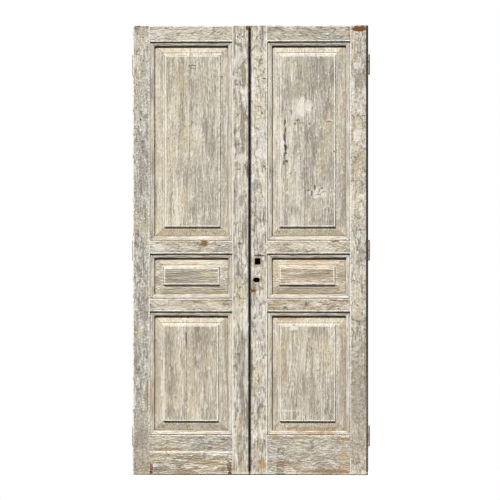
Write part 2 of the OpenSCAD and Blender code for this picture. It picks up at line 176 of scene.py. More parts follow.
sun("key_light", azimuth=-14, elevation=53, strength=5.65, disc=1.5)
sun("back_light", azimuth=200, elevation=35, strength=3.6, disc=20)
sun("side_light", azimuth=112, elevation=28, strength=1.3, disc=20)

SKY_FILL = 0.07
world = bpy.data.worlds.new("studio")
world.use_nodes = True
bpy.context.scene.world = world
sky = world.node_tree
sky.nodes.clear()
seen_directly = add(sky, "LightPath").outputs["Is Camera Ray"]
strength = add(sky, "MapRange", {"Value": seen_directly, "To Min": SKY_FILL, "To Max": 1.0})
sky_light = add(sky, "Background", {"Color": "#ffffff", "Strength": strength})
add(sky, "OutputWorld", {"Surface": sky_light})
bpy.context.scene.view_settings.view_transform = "Standard"
print("sky fill:", SKY_FILL)

# %% [markdown]
# The floor is a plain pale sheet. It glows a little, so that it looks as white as the sky, and it
# throws no light up at the doors. It isn't part of them.

# %% Floor
FLOOR_SIZE = 2.4    # metres
FLOOR_GLOW = 0.8
bpy.ops.object.select_all(action="DESELECT")
bpy.ops.mesh.primitive_plane_add(size=FLOOR_SIZE, location=(0, 0, 0))
floor = bpy.context.object
floor.name = "studio_floor"
floor_paint, tree, shader = new_material("matt_floor_paint")
mottle = add(tree, "TexNoise", {"Scale": 3.0, "Detail": 2.0})
pale = add(tree, "ValToRGB", {"Fac": mottle}, [(0.3, "#f7f6f3"), (0.7, "#fbfaf8")])
tree.links.new(pale.outputs[0], shader.inputs["Base Color"])
shader.inputs["Roughness"].default_value = 0.9
shader.inputs["Emission Color"].default_value = linear("#f7f6f3")
shader.inputs["Emission Strength"].default_value = FLOOR_GLOW
floor.data.materials.append(floor_paint)
floor.visible_diffuse = False
print("floor, metres:", FLOOR_SIZE, "square, in", floor_paint.name)

# %% [markdown]
# A CAD node is never changed, so every board is a worn copy of its node. The copy is merged,
# because a CAD mesh is loose triangles, and its flat faces are dissolved back to single faces, ready
# for the edge tools. An operator acts on all that is selected, so one helper selects some pieces and
# nothing else.

# %% Copies of the boards
METAL = ("plates", "screws", "pins")
SAME_POINT = 0.005    # mm; points closer than this are one point
SAME_PLANE = 1        # degrees; faces that turn less than this are one face
boards = {}


def select_only(pieces):
    """Selects these pieces and nothing else, and makes the first of them active."""
    bpy.ops.object.select_all(action="DESELECT")
    for piece in pieces:
        piece.select_set(True)
    bpy.context.view_layer.objects.active = pieces[0]


def edit(pieces):
    """Opens these pieces, and nothing else, in edit mode with all of them selected."""
    select_only(pieces)
    bpy.ops.object.mode_set(mode="EDIT")
    bpy.ops.mesh.select_all(action="SELECT")


def leave_edit():
    bpy.ops.object.mode_set(mode="OBJECT")
    bpy.ops.object.select_all(action="DESELECT")


for node, cad in frame["nodes"].items():
    if any(word in node for word in METAL):
        continue
    copy = bpy.data.objects.new("worn_" + node, cad.data.copy())
    copy.data.materials.clear()
    bpy.context.scene.collection.objects.link(copy)
    boards[node] = copy
edit(list(boards.values()))
bpy.ops.mesh.remove_doubles(threshold=mm(SAME_POINT))
bpy.ops.mesh.dissolve_limited(angle_limit=math.radians(SAME_PLANE))
leave_edit()
print(len(boards), "boards,", sum(len(b.data.polygons) for b in boards.values()), "faces")

# %% [markdown]
# A century of hands, boots and furniture takes the sharpness off every arris. A Bevel modifier on
# the whole board would round its tenons and grooves too, and open the joints, so only the edges that
# show are picked, by their place, and bevelled a little.

# %% Eased edges
EASED_BY = {"moulding": 0.25, "panel": 0.8}    # mm
OTHERS_EASED_BY = 0.7                          # mm
SHARP = 35            # degrees; an edge that turns more than this is an arris
SHORTEST_EASED = 2    # mm
ON_FACE = 0.01        # mm


def width_of_ease(node):
    """How far a kind of board's edges are eased, in millimetres."""
    return next((width for kind, width in EASED_BY.items() if kind in node), OTHERS_EASED_BY)


def select_shown_edges(board):
    """Leaves only the long sharp edges on the front and the back of a board selected."""
    mesh = board.data
    low = min(v.co.y for v in mesh.vertices)
    high = max(v.co.y for v in mesh.vertices)
    for edge in mesh.edges:
        ends = [mesh.vertices[i].co for i in edge.vertices]
        shown = any(all(abs(end.y - face) < mm(ON_FACE) for end in ends) for face in (low, high))
        long_enough = (ends[0] - ends[1]).length > mm(SHORTEST_EASED)
        edge.select = edge.select and shown and long_enough


for node, board in boards.items():
    edit([board])
    bpy.ops.mesh.select_mode(type="EDGE")
    bpy.ops.mesh.select_all(action="DESELECT")
    bpy.ops.mesh.edges_select_sharp(sharpness=math.radians(SHARP))
    bpy.ops.object.mode_set(mode="OBJECT")
    select_shown_edges(board)
    bpy.ops.object.mode_set(mode="EDIT")
    bpy.ops.mesh.bevel(offset=mm(width_of_ease(node)), segments=2, affect="EDGES",
                       clamp_overlap=True)
    leave_edit()
print("after easing:", sum(len(b.data.polygons) for b in boards.values()), "faces")

# %% [markdown]
# Boards planed by hand are never quite flat. Cuts across the grain give each one enough points to
# bend, and a soft cloud of noise then pushes its surface in by parts of a millimetre. A leaf's
# outer sides, top and foot stay true, because they were planed straight to fit the opening, and so
# that no light leaks between the leaves.

# %% Hand-planed waviness
CUT_EVERY = 40         # mm
HOLLOW_SIZE = 90       # mm across
DEEPEST_HOLLOW = 0.8   # mm
NEAR_MIDDLE = 4        # mm; the leaves end 3 mm from the middle of the pair
NEAR_END = 1           # mm
LYING = ("top_rail", "cross_rail", "bottom_rail", "base_board", "middle_panel", "moulding_top",
         "moulding_bottom")


def lies(node):
    """True if a board's grain runs across the leaf, and not up it."""
    return any(word in node for word in LYING)


def cut_across(pieces, start, stop, axis):
    """Slices pieces at regular steps along an axis, leaving them whole."""
    edit(pieces)
    at = start + mm(CUT_EVERY) / 2
    while at < stop:
        bpy.ops.mesh.select_all(action="SELECT")
        bpy.ops.mesh.bisect(plane_co=at * axis, plane_no=axis)
        at += mm(CUT_EVERY)
    leave_edit()


standing = [b for n, b in boards.items() if not lies(n)]
lying = [b for n, b in boards.items() if lies(n)]
cut_across(standing, 0, leaf_height, Vector((0, 0, 1)))
cut_across(lying, hinge_edge["left"], hinge_edge["right"], Vector((1, 0, 0)))


def planed_true(point):
    """True on the outline of a leaf: its outer sides, its top and its foot."""
    beside = abs(point.x) < mm(NEAR_MIDDLE) or abs(point.x) > hinge_edge["right"] - mm(NEAR_END)
    return beside or point.z < mm(NEAR_END) or point.z > leaf_height - mm(NEAR_END)


hollows = bpy.data.textures.new("hand_planing", "CLOUDS")
hollows.noise_scale = mm(HOLLOW_SIZE)
for board in boards.values():
    wavy = board.vertex_groups.new(name="wavy")
    wavy.add([v.index for v in board.data.vertices if not planed_true(v.co)], 1, "REPLACE")
    wave = board.modifiers.new("hand_planing", "DISPLACE")
    wave.texture = hollows
    wave.texture_coords = "LOCAL"
    wave.strength = mm(DEEPEST_HOLLOW)
    wave.mid_level = 1
    wave.vertex_group = wavy.name
    bpy.context.view_layer.objects.active = board
    bpy.ops.object.modifier_apply(modifier=wave.name)
    board.vertex_groups.clear()
print("after cutting:", sum(len(b.data.polygons) for b in boards.values()), "faces")

# %% [markdown]
# The paint is old limewash over pine. Rain and rubbing took it off in streaks along the grain and
# in small flakes, and damp stained the foot. Painted shade darkens the hollows of the mouldings and
# panels. A picture of such paint could be stuck on, but it would repeat and blur close up. Layers of
# noise nodes give endless fresh detail. These are the colours: ten tones of the wash, fresh lime
# where it is thick, which also paints the highlights along arrises, and the wood below.

# %% Paint colours
TONES = {
    "chalk": "#d3ccbf",
    "stone": "#c9c1b2",
    "cream": "#cbc1ab",
    "cool": "#bcb6aa",
    "ash": "#b1aa9c",
    "warm": "#c3b8a5",
    "tan": "#c1b39c",
    "drab": "#b3a894",
    "oat": "#af9b80",
    "grey": "#b3afa6",
}
BARE_PINE, DARK_PINE = "#8b7257", "#4a382a"
# Fresh lime is also the colour of the painted highlights on arrises, beads and the steps of fields.
FRESH_LIME_AND_HIGHLIGHT, RUBBED_LIME = "#efeadf", "#827868"
YELLOWED_LIME, GREYED_LIME = "#d6c9a8", "#8f8778"
print(len(TONES), "tones of limewash")

# %% [markdown]
# A pattern's scale has to come from the real thing, so it is given in millimetres: a brush streak
# is 5 mm wide, a flake 8 mm, a cloud of damp 110 mm. Every pattern reads Object coordinates, so it
# stays on the wood when a leaf swings. A colour is laid over another through masks. A mask is a
# pattern and the two levels between which it goes from nothing to full, with the full strength
# last.

# %% Patterns and masks
def per_mm(size):
    """The noise scale at which one feature is about so many millimetres wide."""
    return 1000 / size


MATT_SPECULAR = 0.2    # paint, bare wood and rust all scatter most of the light


class Finish:
    """A material in the making, with its own shift of every pattern so that no two boards match."""

    def __init__(self, name, seed):
        self.material, self.tree, self.shader = new_material(name)
        self.add = partial(add, self.tree)
        self.draw = random.Random(seed)
        self.where = self.add("TexCoord").outputs["Object"]
        self.x, self.y, self.z = self.add("SeparateXYZ", {0: self.where}).outputs

    def patches(self, size, stretch, along, detail, roughness):
        """Soft patches so many millimetres wide, and `stretch` times as long along the grain."""
        squeeze = [1, 1, 1]
        squeeze[along] = 1 / stretch
        shift = [self.draw.uniform(-9, 9) for _ in range(3)]
        moved = self.add("Mapping", {"Vector": self.where, "Location": shift, "Scale": squeeze})
        return self.add("TexNoise", {"Vector": moved, "Scale": per_mm(size), "Detail": detail,
                                     "Roughness": roughness})

    def beyond(self, place, middle, half):
        """How far a place is beyond a strip with this middle and half width; below 0 inside it."""
        from_middle = self.add("Math", {0: place, 1: middle}, operation="SUBTRACT")
        distance = self.add("Math", {0: from_middle}, operation="ABSOLUTE")
        return self.add("Math", {0: distance, 1: half}, operation="SUBTRACT")

    def lay(self, under, over, *masks):
        """Lays a colour over another, as much as all the masks together let it."""
        amount = None
        for pattern, low, high, *strength in masks:
            full = strength[0] if strength else 1.0
            mask = self.add("MapRange", {0: pattern, 1: low, 2: high, 4: full})
            if amount:
                mask = self.add("Math", {0: amount, 1: mask}, operation="MULTIPLY")
            amount = mask
        return self.add("Mix", {0: amount, 6: under, 7: over}, data_type="RGBA")

    def finish(self, colour, relief, height, strength, roughness):
        """Links the colour and a relief so many millimetres high, and gives the material."""
        self.tree.links.new(colour.outputs[2], self.shader.inputs["Base Color"])
        self.shader.inputs["Roughness"].default_value = roughness
        self.shader.inputs["Specular IOR Level"].default_value = MATT_SPECULAR
        bump = self.add("Bump", {"Height": relief, "Strength": strength, "Distance": mm(height)})
        self.tree.links.new(bump.outputs[0], self.shader.inputs["Normal"])
        return self.material


print("a 5 mm streak has noise scale", per_mm(5))

# %% [markdown]
# Streaks run along the grain, so a stile has them upright and a rail lying down. The panels were
# sheltered and brushed with care, and their streaks are long. The meeting stiles took every knock
# and every hand, so their paint is the most broken.

# %% How each kind of board wears
# Each pattern is (width in mm, how many times longer than wide); contrast says how torn the wash is.
GRAIN = {
    "stile": {"streak": (5, 7), "flake": (9, 1.4), "band": (32, 3), "contrast": 0.9},
    "rail": {"streak": (5, 5), "flake": (9, 1.4), "band": (34, 3), "contrast": 0.72},
    "panel": {"streak": (4, 26), "flake": (6, 3.5), "band": (34, 14), "contrast": 0.98},
    "moulding": {"streak": (5, 24), "flake": (7, 5), "band": (30, 6), "contrast": 0.8},
    "left_meeting_stile": {"streak": (5, 14), "flake": (8, 3), "band": (20, 7), "contrast": 1.3},
    "right_meeting_stile": {"streak": (5, 9), "flake": (9, 2), "band": (34, 3), "contrast": 1.1},
    "left_base_board": {"streak": (4.5, 9), "flake": (7, 1.8), "band": (26, 4), "contrast": 1.3},
}


def kind_of(node):
    """Whether a board is a moulding, a panel, a stile or a rail; a base board counts as a rail."""
    plain = node.replace("base_board", "rail")
    return next(kind for kind in ("moulding", "panel", "stile", "rail") if kind in plain)


def towards(first, second, amount):
    """A linear colour so far from the first towards the second."""
    return [f + (s - f) * amount for f, s in zip(linear(first), linear(second))]


def limewash(paint, node, tone, along):
    """The wash itself: how thick it still is, where it flakes, and its colour."""
    grain = GRAIN.get(node, GRAIN[kind_of(node)])
    streak = paint.patches(*grain["streak"], along, detail=1.5, roughness=0.5)
    flake = paint.patches(*grain["flake"], along, detail=3, roughness=0.55)
    band = paint.patches(*grain["band"], along, detail=3, roughness=0.55)
    cloud = paint.patches(110, 1.6, along, detail=3, roughness=0.55)
    fine = paint.patches(4.5, 7, along, detail=1, roughness=0.5)
    chip = paint.patches(16, 1.2, along, detail=4, roughness=0.65)
    # How thick the wash still is: bands, flakes and streaks weighed together.
    thick = paint.add("Math", {0: band, 1: 0.35}, operation="MULTIPLY")
    for pattern, share in ((flake, 0.3), (streak, 0.45)):
        thick = paint.add("Math", {0: pattern, 1: share, 2: thick}, operation="MULTIPLY_ADD")
    torn = grain["contrast"]
    thick = paint.add("Math", {0: thick, 1: torn, 2: 0.5 - 0.55 * torn}, operation="MULTIPLY_ADD")
    # From rubbed thin, through the board's own tone, to fresh and thick.
    colour = paint.add("ValToRGB", {"Fac": thick}, [
        (0.32, towards(tone, RUBBED_LIME, 1.1)), (0.42, towards(tone, RUBBED_LIME, 0.6)),
        (0.49, towards(tone, RUBBED_LIME, 0.08)), (0.54, towards(tone, FRESH_LIME_AND_HIGHLIGHT, 0.3)),
        (0.64, towards(tone, FRESH_LIME_AND_HIGHLIGHT, 0.9)),
    ])
    # Broad clouds where it yellowed, and others where it greyed.
    colour = paint.lay(colour, YELLOWED_LIME, (cloud, 0.48, 0.62, 0.4))
    colour = paint.lay(colour, GREYED_LIME, (cloud, 0.46, 0.34, 0.3))
    # Open grain, flakes of thick lime, and chips down to the wood or up to an older coat.
    colour = paint.lay(colour, DARK_PINE, (fine, 0.64, 0.72, 0.5))
    colour = paint.lay(colour, FRESH_LIME_AND_HIGHLIGHT, (flake, 0.66, 0.70, 0.75))
    colour = paint.lay(colour, BARE_PINE, (chip, 0.69, 0.70, 0.9))
    colour = paint.lay(colour, DARK_PINE, (chip, 0.72, 0.73, 0.9))
    colour = paint.lay(colour, FRESH_LIME_AND_HIGHLIGHT, (chip, 0.31, 0.30, 0.9))
    return colour, thick, flake


print("kinds of board:", [kind for kind in GRAIN])

# %% [markdown]
# Thick paint on stiles and rails dries into a net of fine cracks that dirt fills. A Voronoi texture
# gives the net, noise bends its straight lines, and a second noise opens it here and there, because
# a whole net would look like a tiled floor.

# %% Cracks in thick paint
CRACK_CELL = 34       # mm across the grain
CELL_STRETCH = 2.6    # times longer along it
CRACK_BEND = 18       # mm
# The most worn boards, which have a grain of their own, have darker dirt in their cracks.
CRACK_DIRT, WORN_CRACK_DIRT = "#5f5446", "#5c5246"


def crackled(paint, node, colour, along):
    """Thin dark lines round cells that are longer along the grain."""
    squeeze = [1, 1, 1]
    squeeze[along] = 1 / CELL_STRETCH
    wander = paint.add("TexNoise", {"Vector": paint.where, "Scale": per_mm(12), "Detail": 2.0})
    bend = {0: wander.outputs["Color"], 1: [mm(CRACK_BEND)] * 3, 2: paint.where}
    bent = paint.add("VectorMath", bend, operation="MULTIPLY_ADD")
    moved = paint.add("Mapping", {"Vector": bent, "Scale": squeeze})
    cells = paint.add("TexVoronoi", {"Vector": moved, "Scale": per_mm(CRACK_CELL)},
                      feature="DISTANCE_TO_EDGE")
    broken = paint.patches(40, 1, along, detail=2, roughness=0.65)
    crack = WORN_CRACK_DIRT if node in GRAIN else CRACK_DIRT
    return paint.lay(colour, crack, (cells, 0.075, 0.03), (broken, 0.47, 0.57, 0.6))


print("crack cells have noise scale", round(per_mm(CRACK_CELL), 1))

# %% [markdown]
# Wear follows the shape of a board: its edges, its joints and its hollows, and so do the painted
# highlights and painted shade. How far a point lies in from the flat front's edges tells where the
# arris is, and how deep it lies behind the front face tells which part of the profile it is on.
# Those two distances steer the next masks.

# %% Where a point lies on a board
FLAT_WITHIN = 0.9    # mm; a planed front is this flat


def shown_face(node):
    """Middle and half size, in X and Z, of a board's flat front, or of a whole panel's."""
    whole = node[:node.index("panel") + len("panel")] if "panel" in node else node
    same = [board for name, board in boards.items() if name.startswith(whole)]
    points = [v.co for board in same for v in board.data.vertices]
    near = min(p.y for p in points) + mm(FLAT_WITHIN)
    flat = [p for p in points if p.y < near]
    sides = []
    for axis in (0, 2):
        low, high = min(p[axis] for p in flat), max(p[axis] for p in flat)
        sides.append(((low + high) / 2, (high - low) / 2))
    return sides


def depth(millimetres):
    """The Y of a plane so far behind the front face."""
    return front + mm(millimetres)


def on_front(paint):
    """A mask that leaves out the back half of a board."""
    return paint.y, depth(22), depth(20.5)


hinge_stile_face = shown_face("left_hinge_stile")
print("a hinge stile's flat front, mm:", [round(2000 * half) for middle, half in hinge_stile_face])

# %% [markdown]
# A panel's raised field has sloping margins. They are painted a little paler all round, more above
# the field, and paler still below it, as painted light against the shade of margins that face down.
# A painted shade line darkens the mitres between them, where the distance in from the side is the
# same as the distance in from the end.

# %% Panel margins
PALER_MARGIN_LIME, MARGIN_UNDERSIDE_LIGHT, MITRE_SHADE = "#dcd0b8", "#e4d6b6", "#6b5d4b"
PALER_BAND = 8    # mm from the field


def panel_margins(paint, node, colour, from_side, from_end, field):
    """The sloping margins round a panel's raised field, painted paler, with painted light below the
    field and painted shade in their mitres.
    """
    middle, half = field
    slope = (paint.y, depth(9.5), depth(11))
    front_half = on_front(paint)
    top, foot = middle + half, middle - half
    above = (paint.z, top, top + mm(PALER_BAND), 0.3)
    below = (paint.z, foot, foot - mm(PALER_BAND), 0.5 if "upper" in node else 0.2)
    # The margins are painted paler; those below the field get more, as painted light against the shade
    # they face into.
    colour = paint.lay(colour, PALER_MARGIN_LIME, (*slope, 0.15), front_half)
    colour = paint.lay(colour, PALER_MARGIN_LIME, above, slope, front_half)
    colour = paint.lay(colour, MARGIN_UNDERSIDE_LIGHT, below, slope, front_half)
    # A painted shade line darkens the mitres, where the bevels meet.
    apart = paint.add("Math", {0: from_side, 1: from_end}, operation="SUBTRACT")
    mitre = paint.add("Math", {0: apart}, operation="ABSOLUTE")
    return paint.lay(colour, MITRE_SHADE, (mitre, mm(3), mm(1.5), 0.45), slope, front_half)


print("margins are painted paler for", PALER_BAND, "mm above and below a field")

# %% [markdown]
# A brush leaves a fat pale line of paint on every arris; here it also serves as a painted highlight,
# as do pale lines on each moulding's bead and round each field's step. The sides of stiles and rails
# are dirty, and painted shade darkens the hollows of the mouldings and the foot of each panel margin.
# On the edges where the leaves meet, and on the right leaf's hinge edge, painted shade makes the sides
# and a strip of the front almost black. A few flecks of lime still cling to those edges.

# %% Fat edges, painted highlights and painted shade
# How far in from the edge the painted black shade goes, in millimetres.
BLACK_EDGED = {"left_meeting_stile": 7, "right_meeting_stile": 6, "right_hinge_stile": 7}
# Dirt for the sides of boards, near-black painted shade for the gap and the right leaf's shaded edge,
# and painted shade for the hollows of mouldings and panels.
GRIME, BLACK_SHADE, HOLLOW_SHADE = "#5c4b3a", "#1f1711", "#6b5643"
CLINGING_LIME = "#8f8374"
FAT_PAINT_HIGHLIGHT = (6, 4)    # mm in from the edge, where it begins and where it is full
BLACK_FADES = 2      # mm
MEETING_EDGE = 3     # mm from the middle of the pair


def edged(paint, node, colour, flake):
    """Fat paint along the arrises and grime in the joints of one board."""
    kind = kind_of(node)
    across, up = shown_face(node)
    from_side, from_end = paint.beyond(paint.x, *across), paint.beyond(paint.z, *up)
    # Fat paint and painted highlights along the arrises, dirty sides, and painted shade, on one board.
    holds = (flake, 0.30, 0.42)
    # A moulding has a painted highlight on its outer bead and painted shade in its hollow.
    if kind == "moulding":
        colour = paint.lay(colour, FRESH_LIME_AND_HIGHLIGHT, (paint.y, depth(6.2), depth(5.2)), holds)
        return paint.lay(colour, HOLLOW_SHADE, (paint.y, depth(9.4), depth(9.9), 0.35))
    outside = paint.add("Math", {0: from_side, 1: from_end}, operation="MAXIMUM")
    beside = {"stile": from_side, "rail": from_end, "panel": outside}[kind]
    if kind == "panel":
        colour = panel_margins(paint, node, colour, from_side, from_end, up)
    rim = (beside, -mm(FAT_PAINT_HIGHLIGHT[0]), -mm(FAT_PAINT_HIGHLIGHT[1]))
    # This fat pale line along the arris is also a painted highlight.
    colour = paint.lay(colour, FRESH_LIME_AND_HIGHLIGHT, rim, (paint.y, depth(5.5), depth(5)), holds)
    # A panel has a painted highlight round the step of its field, and painted shade where it enters its
    # groove.
    if kind == "panel":
        ledge = (paint.y, depth(12.5), depth(11.9), 0.7)
        colour = paint.lay(colour, FRESH_LIME_AND_HIGHLIGHT, ledge, (paint.y, depth(10.5), depth(11)), holds)
        bottom = (paint.y, depth(18.4), depth(19.4), 0.35)
        return paint.lay(colour, HOLLOW_SHADE, bottom, on_front(paint))
    # The sides of stiles and rails are dirty; on some boards they are painted near-black as shade
    # instead.
    side_dirt_and_shade = BLACK_SHADE if node in BLACK_EDGED else GRIME
    joint = (paint.y, depth(1), depth(3), 0.95)
    colour = paint.lay(colour, side_dirt_and_shade, joint, (paint.y, back - mm(2), back - mm(5)))
    if node in BLACK_EDGED:
        leaf = node.split("_")[0]
        meets = -TOWARDS_MEETING[leaf] * mm(MEETING_EDGE)
        outer = meets if "meeting" in node else hinge_edge[leaf]
        inwards, reach = paint.beyond(paint.x, outer, 0), BLACK_EDGED[node]
        # A strip of the front along that edge is painted near-black as well: painted shade by the gap
        # between the leaves, and by the right leaf's shaded outer edge.
        arris = (inwards, mm(reach), mm(reach - BLACK_FADES), 0.95)
        colour = paint.lay(colour, side_dirt_and_shade, arris, (paint.y, back, front))
    clings, sides = (flake, 0.50, 0.60, 0.6), (paint.y, depth(8), depth(14))
    return paint.lay(colour, CLINGING_LIME, clings, sides, (paint.y, back, depth(38)))


print("black edges on:", sorted(BLACK_EDGED))

# %% [markdown]
# Wood drinks water from the doorstep, so the foot of each leaf is damp and brown where the wash is
# thin. The right leaf stood wetter than the left. Splashes leave a pale line, and the lowest few
# millimetres are painted nearly black as the shadow where the doors meet the floor.

# %% Damp and a painted shadow at the foot
DAMP_UP_TO = {"left": 150, "right": 300}    # mm
SPLASHED_UP_TO = 22                         # mm
FOOT_SHADOW_UP_TO = 7                         # mm
DAMP_PINE, SPLASH, FOOT_SHADOW = "#a98f6b", "#dcd3c0", "#1e1610"


def footed(paint, node, colour, thick, flake):
    """Damp where the wash is thin, a splashed line above the floor, and a painted shadow at the very
    foot.
    """
    damp = (paint.z, mm(DAMP_UP_TO[node.split("_")[0]]), mm(20), 0.4)
    splashed = (paint.z, mm(SPLASHED_UP_TO), mm(14), 0.6)
    colour = paint.lay(colour, DAMP_PINE, damp, (thick, 0.57, 0.44))
    colour = paint.lay(colour, SPLASH, splashed, (flake, 0.30, 0.42))
    # The lowest few millimetres are painted near-black: a painted shadow where the doors meet the
    # floor.
    return paint.lay(colour, FOOT_SHADOW, (paint.z, mm(FOOT_SHADOW_UP_TO), mm(5), 0.95))


print("damp reaches, mm:", DAMP_UP_TO)

# %% [markdown]
# Some marks belong to one place: a knot, a stain under a latch, a patch where the paint came off.
# They could be modelled, but they are thinner than paint, so each is laid on as a colour. A mark is
# an ellipse with a ragged rim. Dark ones are wood or rust, pale ones are thick lime or old filler.
# The left leaf's come first.

# %% Marks on the left leaf
# Each mark is (across, up, half width, half height) in mm on its leaf, then its colour and strength.
RUST, UMBER, LIME = "#7a4f2c", "#3a2a20", "#e9e4d8"
TEA, STRAW, BARK = "#8f6f4c", "#c2a675", "#7d5a3a"
MARKS = {
    "left_hinge_stile": [
        (29, 2289, 10, 5, UMBER, 1), (52, 2230, 4, 4, UMBER, 0.9), (28, 2146, 4, 3, UMBER, 0.8),
        (41, 1811, 4, 5, "#4a1f18", 1), (46, 2140, 16, 2, UMBER, 0.5), (12, 2200, 5, 40, LIME, 0.5),
        (60, 2060, 14, 2, UMBER, 0.6), (30, 1990, 20, 2, UMBER, 0.5), (66, 1900, 4, 26, LIME, 0.6),
        (20, 1700, 16, 3, UMBER, 0.5), (50, 1560, 20, 60, "#9c9486", 0.5),
        (66, 1330, 5, 50, UMBER, 0.4), (24, 1230, 12, 3, "#6d5a45", 0.7),
        (60, 840, 10, 120, "#958b7c", 0.5), (76, 400, 6, 80, "#9b7a54", 0.7),
        (30, 520, 20, 3, UMBER, 0.4), (20, 2275, 12, 8, "#6f5a42", 0.6),
        (40, 240, 26, 80, "#aca597", 0.5), (44, 110, 60, 170, "#8c8172", 0.5),
    ],
    "left_meeting_stile": [
        (556, 1430, 24, 170, LIME, 0.35), (566, 470, 26, 260, "#857b6c", 0.4),
        (541, 2233, 4, 4, UMBER, 0.9), (565, 2233, 4, 4, UMBER, 0.9), (590, 2278, 9, 12, RUST, 1),
        (560, 1400, 16, 30, "#83796a", 0.5), (575, 1270, 12, 60, "#7d7264", 0.5),
        (553, 1180, 14, 8, UMBER, 0.6), (590, 1540, 6, 40, UMBER, 0.6), (545, 1560, 14, 4, UMBER, 0.6),
        (580, 760, 16, 60, LIME, 0.6), (540, 830, 20, 60, LIME, 0.4),
        (590, 300, 8, 100, "#5a4c3e", 0.6), (560, 150, 24, 60, "#9a917f", 0.4),
        (536, 1990, 10, 6, UMBER, 0.6), (550, 2120, 20, 40, LIME, 0.4), (568, 900, 20, 5, UMBER, 0.4),
        (572, 1962, 20, 24, LIME, 0.9), (563, 1612, 30, 28, LIME, 0.6),
        (572, 2040, 11, 90, "#857b6e", 0.7), (566, 1780, 13, 140, "#85796b", 0.7),
        (585, 540, 9, 150, LIME, 0.5), (560, 455, 9, 90, "#7d7366", 0.6),
    ],
    "left_base_board": [
        (92, 34, 14, 30, RUST, 0.85), (496, 44, 14, 26, RUST, 0.8), (260, 14, 90, 10, TEA, 0.6),
        (400, 60, 60, 12, "#9c7f5e", 0.5),
    ],
    "left_bottom_rail": [
        (180, 132, 90, 7, TEA, 0.6), (420, 136, 60, 6, TEA, 0.5),
    ],
    "left_upper_panel_hinge_board": [
        (235, 2143, 60, 4, "#a98a66", 0.5), (190, 2150, 30, 14, "#c3b08f", 0.5),
        (290, 2086, 4, 3, UMBER, 0.8),
    ],
    "left_upper_panel_meeting_board": [
        (380, 2143, 70, 4, "#a98a66", 0.5), (300, 2143, 12, 7, "#a08058", 0.5),
        (310, 2087, 24, 3, UMBER, 0.7), (312, 2074, 26, 3, UMBER, 0.6), (420, 2060, 9, 3, UMBER, 0.5),
        (455, 2030, 10, 4, UMBER, 0.5), (330, 1960, 34, 90, "#aaa092", 0.4),
    ],
    "left_upper_cross_rail": [
        (300, 1193, 190, 4, STRAW, 0.5), (470, 1150, 40, 12, "#a59b8b", 0.5),
        (368, 1178, 24, 14, "#8a6544", 1), (220, 1188, 90, 4, "#b29a72", 0.5),
        (130, 1160, 30, 20, LIME, 0.5),
    ],
    "left_lower_cross_rail": [
        (470, 890, 60, 3, "#4c3f31", 0.6), (360, 890, 110, 3, STRAW, 0.5),
        (300, 888, 60, 4, "#8a6d4c", 0.5), (200, 850, 90, 9, LIME, 0.5), (480, 872, 20, 4, UMBER, 0.5),
        (430, 860, 40, 12, "#d8ccb4", 0.6),
    ],
    "left_middle_panel": [
        (310, 1075, 24, 4, "#c99a61", 0.6), (300, 1010, 70, 24, "#a9a196", 0.5),
    ],
    "left_lower_panel_hinge_board": [
        (126, 480, 16, 300, "#a09480", 0.45), (276, 700, 4, 34, UMBER, 0.6),
        (180, 640, 30, 60, "#a59b8c", 0.4), (277, 420, 2, 130, UMBER, 0.6),
        (278, 590, 3, 20, UMBER, 0.6), (150, 560, 4, 30, "#7a6a55", 0.5),
        (210, 470, 20, 60, "#a59b8c", 0.4),
    ],
    "left_lower_moulding_hinge_side": [
        (98, 410, 16, 90, "#a58763", 0.4),
    ],
}
print(sum(len(rows) for rows in MARKS.values()), "marks on", len(MARKS), "boards")

# %% [markdown]
# The right leaf had the lock, so its meeting stile is bare and bruised round the two holes. Its
# upper panel carries two patches of filler and a row of knocks beside the joint, and its foot is
# stained.

